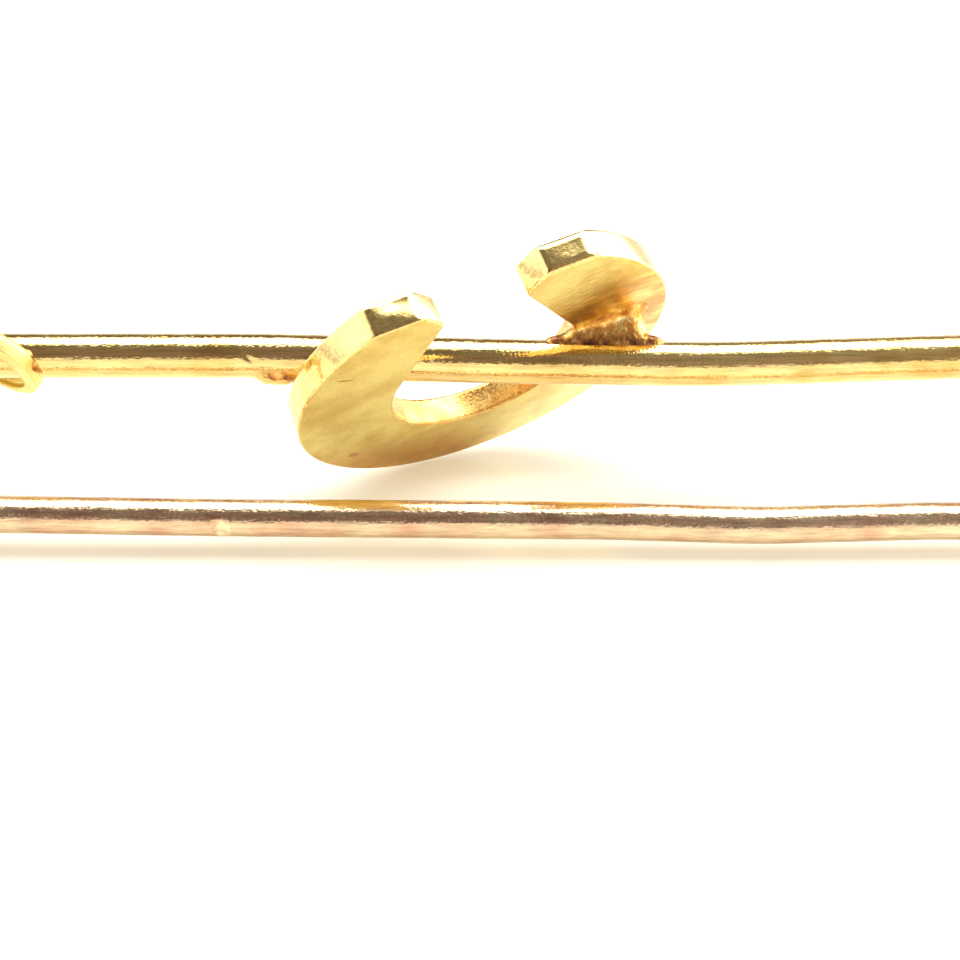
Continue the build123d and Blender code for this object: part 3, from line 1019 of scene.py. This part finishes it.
solder_pieces.append(grow_solder("solder_cup", [
    lump(seen_at(x, bar_height_at(x), bar_radius * CUP_LUMP_SEAT, turn), (size, size, size))
    for x, turn, size in CUP_LUMPS
], copper_solder, rounds=CUP_SMOOTHING))

# %% [markdown]
# The hinge is cut from a bar of gold: a post whose round end is slotted for the pin's eye and drilled for
# the rivet. A cylinder across the brooch is the knuckle, its upper half is extruded up to the bar, and the
# slot and the bore are cut away.

# %% Hinge post
KNUCKLE_RADIUS = 0.72
CHEEK_THICKNESS = 0.33
EYE_THICKNESS = 0.50
EYE_INSET = 0.08
SIDE_CLEARANCE = 0.04
SLOT_CLEARANCE = 0.20
RIVET_RADIUS = 0.25
RIVET_CLEARANCE = 0.04
FILED_EDGE = 0.06

eye_radius = KNUCKLE_RADIUS - EYE_INSET
eye_slot = EYE_THICKNESS + 2 * SIDE_CLEARANCE
knuckle_width = eye_slot + 2 * CHEEK_THICKNESS
across = (pi / 2, 0, 0)


def combine(piece, tool, operation="DIFFERENCE"):
    """Cuts a closed tool out of a piece, or joins it on with UNION, and drops the tool."""
    pick(piece)
    modify(piece, "BOOLEAN", object=tool, operation=operation, solver="EXACT")
    bpy.data.objects.remove(tool)


def round_all_edges(piece, width):
    """Cleans the piece's flat faces and rounds its sharp edges by that width, as a file does."""
    open_piece(piece)
    bpy.ops.mesh.select_all(action="SELECT")
    bpy.ops.mesh.dissolve_limited(angle_limit=radians(1))
    close_piece(merge=0.003)
    modify(
        piece, "BEVEL", width=width, segments=3, limit_method="ANGLE", angle_limit=radians(50),
        use_clamp_overlap=False,
    )


def bore_tool(radius):
    """A drill for holes along the rivet, longer than the hinge is wide."""
    drill = start_piece(
        "drill", bpy.ops.mesh.primitive_cylinder_add, vertices=48, radius=radius, depth=4 * KNUCKLE_RADIUS,
        location=hinge_at_home, rotation=across,
    )
    close_piece()
    return drill


post = start_piece(
    "hinge_post", bpy.ops.mesh.primitive_cylinder_add, vertices=64, radius=KNUCKLE_RADIUS,
    depth=knuckle_width, location=hinge_at_home, rotation=across,
)
post_top = bar_height_at(HINGE_PLACE)
select("faces", lambda face: abs(face.normal.y) < 0.5 and face.normal.z > 0)
pull((0, 0, post_top + PIN_SPACING))
bpy.ops.transform.resize(value=(1, 1, 0), center_override=(HINGE_PLACE, 0, post_top))
close_piece()
slot_tool = start_piece(
    "slot", bpy.ops.mesh.primitive_cube_add, size=1.0,
    location=hinge_at_home + Vector((0, 0, (eye_radius + SLOT_CLEARANCE - 2 * KNUCKLE_RADIUS) / 2)),
    scale=(4 * KNUCKLE_RADIUS, eye_slot, eye_radius + SLOT_CLEARANCE + 2 * KNUCKLE_RADIUS),
)
close_piece()
combine(post, slot_tool)
round_all_edges(post, FILED_EDGE)
combine(post, bore_tool(RIVET_RADIUS))
finish_piece(post, sawn_gold)

# %% [markdown]
# The catch is outside the photograph, so it is finished plainly: a strip of gold bent to a cradle that is
# open to the back, on a short post. Half a circle is given straight cheeks and extruded along the pin, and
# the sheet then gets its thickness. The cradle's width follows from the pin, whose sizes come first.

# %% The pin's line
PIN_RADIUS = 0.53
PIN_TIP_RADIUS = 0.08
PIN_TIP_PLACE = -24.0
PIN_TAPER = 7.3
PIN_BENDS = [  # share of the distance from the hinge to the tip, height as a share of its diameter
    (0.000, 0.000),
    (0.207, 0.000),
    (0.310, -0.120),
    (0.400, 0.000),
    (0.640, 0.095),
    (0.765, 0.180),
    (1.000, 0.210),
]
PIN_BEND_RADIUS = 25.0

pin_length = HINGE_PLACE - PIN_TIP_PLACE
pin_points = sorted(
    (HINGE_PLACE - place * pin_length, height * 2 * PIN_RADIUS - PIN_SPACING) for place, height in PIN_BENDS
)


def pin_height_at(x):
    """Height of the pin's axis at x."""
    return bent_height(pin_points, PIN_BEND_RADIUS, x)


def pin_radius_at(x):
    """The pin's radius at x, along its taper."""
    along = min((x - PIN_TIP_PLACE) / PIN_TAPER, 1.0)
    return PIN_TIP_RADIUS + along * (PIN_RADIUS - PIN_TIP_RADIUS)


print("pin length:", pin_length, "mm")

# %% Catch
CATCH_PLACE = -22.0
CATCH_LENGTH = 1.60
CATCH_WALL = 0.32
CATCH_CLEARANCE = 0.12
CATCH_POST_WIDTH = 0.70
CATCH_POST_INSET = 0.08
CATCH_POST_ROUNDING = 0.12

half_gap = pin_radius_at(CATCH_PLACE + CATCH_LENGTH / 2) + CATCH_CLEARANCE
catch_outside = half_gap + CATCH_WALL
catch_level = pin_height_at(CATCH_PLACE)
hinge_lowest = -(PIN_SPACING + KNUCKLE_RADIUS) * cos(LEAN) - knuckle_width / 2 * sin(LEAN)
cheek_end = (hinge_lowest + catch_outside * sin(LEAN)) / cos(LEAN)

catch = start_piece(
    "catch", bpy.ops.mesh.primitive_circle_add, vertices=64, radius=half_gap,
    location=(CATCH_PLACE - CATCH_LENGTH / 2, 0, catch_level), rotation=(0, pi / 2, 0),
)
select("verts", lambda vert: vert.co.z < catch_level - TOUCHING)
bpy.ops.mesh.delete(type="VERT")
select("verts", lambda vert: vert.co.z < catch_level + TOUCHING)
pull((0, 0, cheek_end - catch_level))
bpy.ops.mesh.select_all(action="SELECT")
pull((CATCH_LENGTH, 0, 0))
close_piece()
inner_face = catch.data.polygons[0]
outwards = inner_face.normal.dot(inner_face.center - Vector((CATCH_PLACE, 0, catch_level))) > 0
modify(catch, "SOLIDIFY", thickness=CATCH_WALL, offset=1.0 if outwards else -1.0)
round_all_edges(catch, FILED_EDGE)
finish_piece(catch, sawn_gold)

catch_base = catch_level + catch_outside
bar_at_catch = bar_height_at(CATCH_PLACE)
catch_post = start_piece(
    "catch_post", bpy.ops.mesh.primitive_cube_add, size=1.0,
    location=(CATCH_PLACE, 0, (bar_at_catch + catch_base - CATCH_WALL) / 2),
    scale=(CATCH_LENGTH - CATCH_POST_INSET, CATCH_POST_WIDTH, bar_at_catch - catch_base + CATCH_WALL),
)
select("edges", lambda edge: abs(edge.verts[0].co.z - edge.verts[1].co.z) > 1.0)
bpy.ops.mesh.bevel(offset=CATCH_POST_ROUNDING, segments=4, affect="EDGES")
close_piece()
finish_piece(catch_post, sawn_gold)

# %% [markdown]
# Rose gold of 9 carats, with more copper: harder, pinker, and drawn to wire without a last polish, so its
# skin is grainy and carries small nicks.

# %% Rose gold
rose_gold = worn_metal(
    "drawn and worn 9 carat rose gold", "#F0D8B2", "#E0B898", stretch=10,
    roughness=(0.13, 0.27), pit_depth=0.009, line_depth=0.007,
)
print("metal:", rose_gold.name)

# %% [markdown]
# The pin stem is drawn wire too: long bends from years of use, a point at one end, and at the other end an
# eye forged flat for the rivet. It is extruded like the bar, its last rings are squeezed flat, and the round
# eye is joined on and drilled. A dent and a nick are pressed into it, in rings that are finer there.

# %% Pin stem
EYE_NECK = 0.35
EYE_NECK_HALF_HEIGHT = 0.50
EYE_PROUD = 0.002  # on both sides together, so that no two faces share a plane
FLAT_START = 0.80
ROUND_START = 2.00
PIN_WEAR = 0.014
DENT_PLACE = -7.2
DENT_DEPTH = 0.08
DENT_REACH = 0.20
DENT_TURNS = (-18, -30, -42)  # from the viewer's line, down in the picture
DENT_LEAN = 0.5  # radians from the viewer's line, of the blow that made it
DENT_PART = 0.45  # half the length with finer rings
PIN_NICK_PLACE = 11.7
PIN_NICK_PART = 0.3
FINE_RINGS = 0.05
PIN_NICK_DEPTH = 0.09
PIN_NICK_REACH = 0.14

dent_end = DENT_PART + FINE_RINGS
nick_end = PIN_NICK_PART + FINE_RINGS
pin_rings = [
    (PIN_TIP_PLACE + PIN_TIP_RADIUS * (1 - cos(turn)), PIN_TIP_RADIUS * sin(turn), PIN_TIP_RADIUS * sin(turn))
    for turn in [radians(15 * step) for step in range(1, 7)]
]
pin_rings += [
    (x, pin_radius_at(x), pin_radius_at(x))
    for x in even_steps(PIN_TIP_PLACE + 2 * PIN_TIP_RADIUS, DENT_PLACE - dent_end, WIRE_STEP)
    + even_steps(DENT_PLACE - DENT_PART, DENT_PLACE + DENT_PART, FINE_RINGS)
    + even_steps(DENT_PLACE + dent_end, PIN_NICK_PLACE - nick_end, WIRE_STEP)
    + even_steps(PIN_NICK_PLACE - PIN_NICK_PART, PIN_NICK_PLACE + PIN_NICK_PART, FINE_RINGS)
    + even_steps(PIN_NICK_PLACE + nick_end, HINGE_PLACE - ROUND_START, WIRE_STEP)
]
for share in even_steps(0.1, 0.9, 0.1):
    squeezed = (PIN_RADIUS - EYE_THICKNESS / 2) * share * share * (3 - 2 * share)
    pin_rings.append((
        HINGE_PLACE - ROUND_START + share * (ROUND_START - FLAT_START), PIN_RADIUS - squeezed, PIN_RADIUS
    ))
pin_rings += [
    (HINGE_PLACE - FLAT_START, EYE_THICKNESS / 2, PIN_RADIUS),
    (HINGE_PLACE - EYE_NECK, EYE_THICKNESS / 2, EYE_NECK_HALF_HEIGHT),
]
pin_stem = draw_wire("pin_wire", [
    (x, pin_height_at(x), half_width, half_height)
    for x, half_width, half_height in pin_rings
])
wear(pin_stem, PIN_WEAR)


def pin_spot(x, turn):
    """A spot on the pin's skin as the viewer sees it."""
    return seen_at(x, pin_height_at(x), PIN_RADIUS, turn)


dent = [pin_spot(DENT_PLACE + shift, turn) for shift in (-0.05, 0.05) for turn in DENT_TURNS]
blow = sin(DENT_LEAN) * picture_up - cos(DENT_LEAN) * to_viewer
press(pin_stem, dent, blow, DENT_DEPTH, DENT_REACH)
nick = [pin_spot(PIN_NICK_PLACE + shift, -90) for shift in (-0.05, 0, 0.05)]
press(pin_stem, nick, picture_up, PIN_NICK_DEPTH, PIN_NICK_REACH)
pin_eye = start_piece(
    "pin_eye", bpy.ops.mesh.primitive_cylinder_add, vertices=64, radius=eye_radius,
    depth=EYE_THICKNESS + EYE_PROUD, location=hinge_at_home, rotation=across,
)
close_piece()
combine(pin_stem, pin_eye, "UNION")
combine(pin_stem, bore_tool(RIVET_RADIUS + RIVET_CLEARANCE))
finish_piece(pin_stem, rose_gold)

# %% [markdown]
# A few marks are only a change of colour: the floor of the pin's dent, which is paler than the skin
# around it, and a red copper spot and a short scratch on the crescent's satin face. Each is an ellipse with
# a ragged outline that fades out.

# %% Marks on the metal
RAGGED = 0.9  # how far the marks' outlines wander, as a share of their size
RAGGED_SIZE = 0.09 * MM
DENT_MARK_SPOT = (DENT_PLACE + 0.12, -40)  # place along the pin, turn
DENT_MARK = (0.26, 0.50, 0.46)  # half sizes along x, y and z
FACE_MARKS = [  # place on the crescent's own face, half sizes along and across, turn, colour, strength
    ((-4.37, 2.37), (0.20, 0.14), 0, "#B4582E", 0.6),
    ((-4.01, -3.02), (0.26, 0.035), 12, "#8A6630", 0.8),
]


def add_mark(material, spot, half_sizes, turn, colour_hex, strength):
    """Mixes a colour into a metal inside an ellipse round a spot, turned by that many degrees."""
    tree = material.node_tree
    shader = tree.nodes["Principled BSDF"]
    skin = shader.inputs["Base Color"].links[0].from_socket
    place = add_node(tree, "TexCoord", {}).outputs["Object"]
    inside = add_node(tree, "Mapping", {
        "Vector": place, "Location": spot, "Rotation": (0.0, radians(turn), 0.0),
        "Scale": [size * MM for size in half_sizes],
    }, vector_type="TEXTURE")
    away = add_node(tree, "VectorMath", {0: inside}, operation="LENGTH")
    specks = add_node(tree, "TexNoise", {"Vector": place, "Scale": 1 / RAGGED_SIZE, "Detail": 3.0})
    ragged = add_node(tree, "Math", {0: specks, 1: RAGGED, 2: away}, operation="MULTIPLY_ADD")
    fade = add_node(tree, "MapRange", {
        "Value": ragged, "From Min": 1.0 + RAGGED / 2, "From Max": 0.6 + RAGGED / 2, "To Max": strength,
    }, interpolation_type="SMOOTHSTEP")
    marked = add_node(tree, "Mix", {"Factor": fade, "A": skin, "B": linear(colour_hex)}, data_type="RGBA")
    feed(tree, shader, {"Base Color": marked})


add_mark(rose_gold, LAID @ pin_spot(*DENT_MARK_SPOT), DENT_MARK, 0, "#F8EABE", 0.65)
for (x, y), (along, thick), turn, colour, strength in FACE_MARKS:
    on_face = LAID @ Matrix.Rotation(-TILT, 4, "Y") @ Vector((x, y, -half_thick))
    add_mark(satin_gold, on_face, (along, 1.0, thick), turn, colour, strength)
print("marks:", 1 + len(FACE_MARKS))

# %% [markdown]
# The rivet is a short piece of gold wire. Its ends stand out a little and are rounded by the hammer.

# %% Hinge rivet
RIVET_HEAD = 0.05
RIVET_ROUNDING = 0.045

rivet = start_piece(
    "hinge_rivet_wire", bpy.ops.mesh.primitive_cylinder_add, vertices=48, radius=RIVET_RADIUS,
    depth=knuckle_width + 2 * RIVET_HEAD, location=hinge_at_home, rotation=across,
)
select("edges", is_corner)
bpy.ops.mesh.bevel(offset=RIVET_ROUNDING, segments=4, affect="EDGES")
close_piece()
finish_piece(rivet, polished_gold)

# %% [markdown]
# Every piece is laid down where its solid lies. All that is soldered together stands for the one frame.

# %% Lay the brooch down
for piece in (bar_wire, crescent, cup, *solder_pieces, post, catch, catch_post):
    lay_down(piece, "brooch", "brooch_frame")
lay_down(pin_stem, "pin", "pin_stem")
lay_down(rivet, "brooch", "hinge_rivet")
